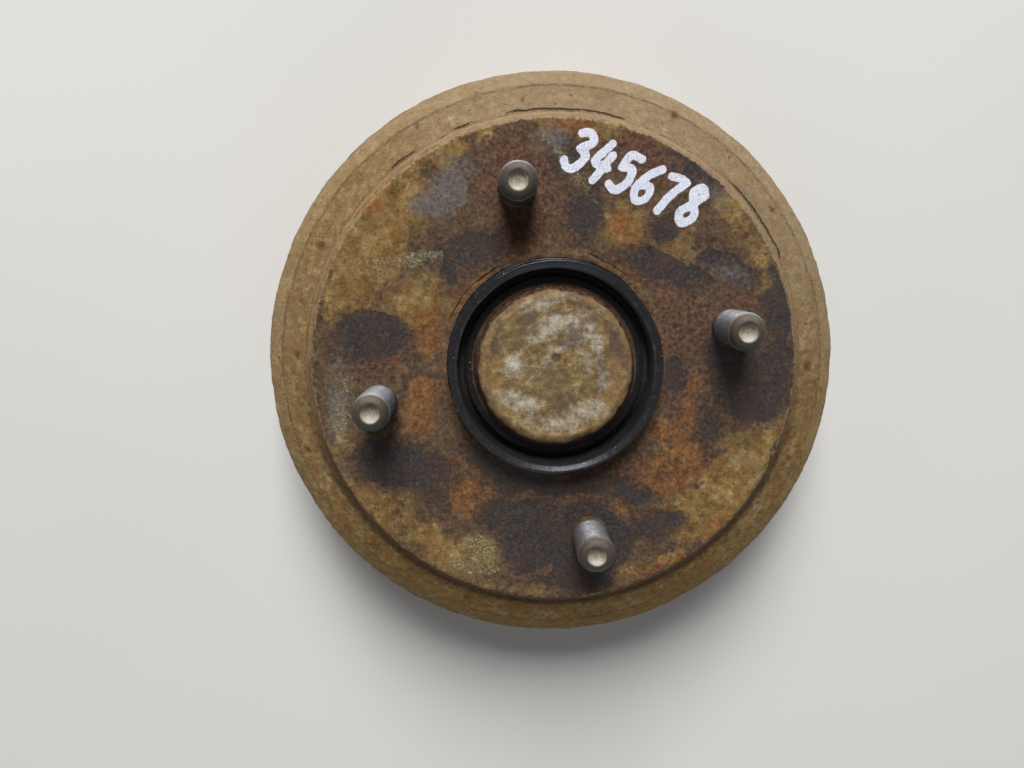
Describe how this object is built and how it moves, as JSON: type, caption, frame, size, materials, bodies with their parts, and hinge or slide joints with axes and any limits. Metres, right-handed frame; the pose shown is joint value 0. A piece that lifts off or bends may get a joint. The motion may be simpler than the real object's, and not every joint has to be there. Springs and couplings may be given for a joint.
{
  "type": "brake drum",
  "caption": "Rear brake drum cast in one with its hub: studs stand on the wheel face, a spigot ring and pressed cap sit in the middle, and a sealed double-row ball bearing is inside.",
  "frame": {"origin": "on the axis of rotation, in the plane of the open rim, which the drum stands on", "axes": "+Z is the axis of rotation and points out through the wheel face, along the studs; +X and +Y lie in the rim plane, and the first stud is 12.1 degrees from +X towards +Y"},
  "size_m": [0.202, 0.202, 0.078],
  "materials": {
    "casting": "rusted cast iron, ochre and brown crust",
    "stud_steel": "dull worn steel, light rust",
    "cap_steel": "pressed steel, mottled grey and rust",
    "spring_steel": "oiled spring steel",
    "bearing_steel": "ground bearing steel",
    "seal_rubber": "matt black rubber",
    "cage_plastic": "matt nylon"
  },
  "bodies": {
    "drum": {"drum_and_hub": "casting", "wheel_studs": "stud_steel", "dust_cap": "cap_steel", "bearing_circlip": "spring_steel", "bearing_outer_ring": "bearing_steel", "seal_outboard": "seal_rubber", "seal_inboard": "seal_rubber"},
    "inner_rings": {"inner_ring_outboard": "bearing_steel", "inner_ring_inboard": "bearing_steel"},
    "ball_set_outboard": {"cage_outboard": "cage_plastic", "ball_outboard_01": "bearing_steel", "ball_outboard_02": "bearing_steel", "ball_outboard_03": "bearing_steel", "ball_outboard_04": "bearing_steel", "ball_outboard_05": "bearing_steel", "ball_outboard_06": "bearing_steel", "ball_outboard_07": "bearing_steel", "ball_outboard_08": "bearing_steel", "ball_outboard_09": "bearing_steel", "ball_outboard_10": "bearing_steel", "ball_outboard_11": "bearing_steel", "ball_outboard_12": "bearing_steel"},
    "ball_set_inboard": {"cage_inboard": "cage_plastic", "ball_inboard_01": "bearing_steel", "ball_inboard_02": "bearing_steel", "ball_inboard_03": "bearing_steel", "ball_inboard_04": "bearing_steel", "ball_inboard_05": "bearing_steel", "ball_inboard_06": "bearing_steel", "ball_inboard_07": "bearing_steel", "ball_inboard_08": "bearing_steel", "ball_inboard_09": "bearing_steel", "ball_inboard_10": "bearing_steel", "ball_inboard_11": "bearing_steel", "ball_inboard_12": "bearing_steel"}
  },
  "joints": [
    {"name": "hub_spin", "type": "hinge", "parent": "drum", "child": "inner_rings", "pos_m": [0, 0, 0.028], "axis": [0, 0, 1], "continuous": true},
    {"name": "ball_set_outboard_spin", "type": "hinge", "parent": "drum", "child": "ball_set_outboard", "pos_m": [0, 0, 0.0355], "axis": [0, 0, 1], "continuous": true},
    {"name": "ball_set_inboard_spin", "type": "hinge", "parent": "drum", "child": "ball_set_inboard", "pos_m": [0, 0, 0.0205], "axis": [0, 0, 1], "continuous": true}
  ],
  "couplings": [
    {"joint": "ball_set_outboard_spin", "follows": "hub_spin", "ratio": 0.415},
    {"joint": "ball_set_inboard_spin", "follows": "hub_spin", "ratio": 0.415}
  ]
}
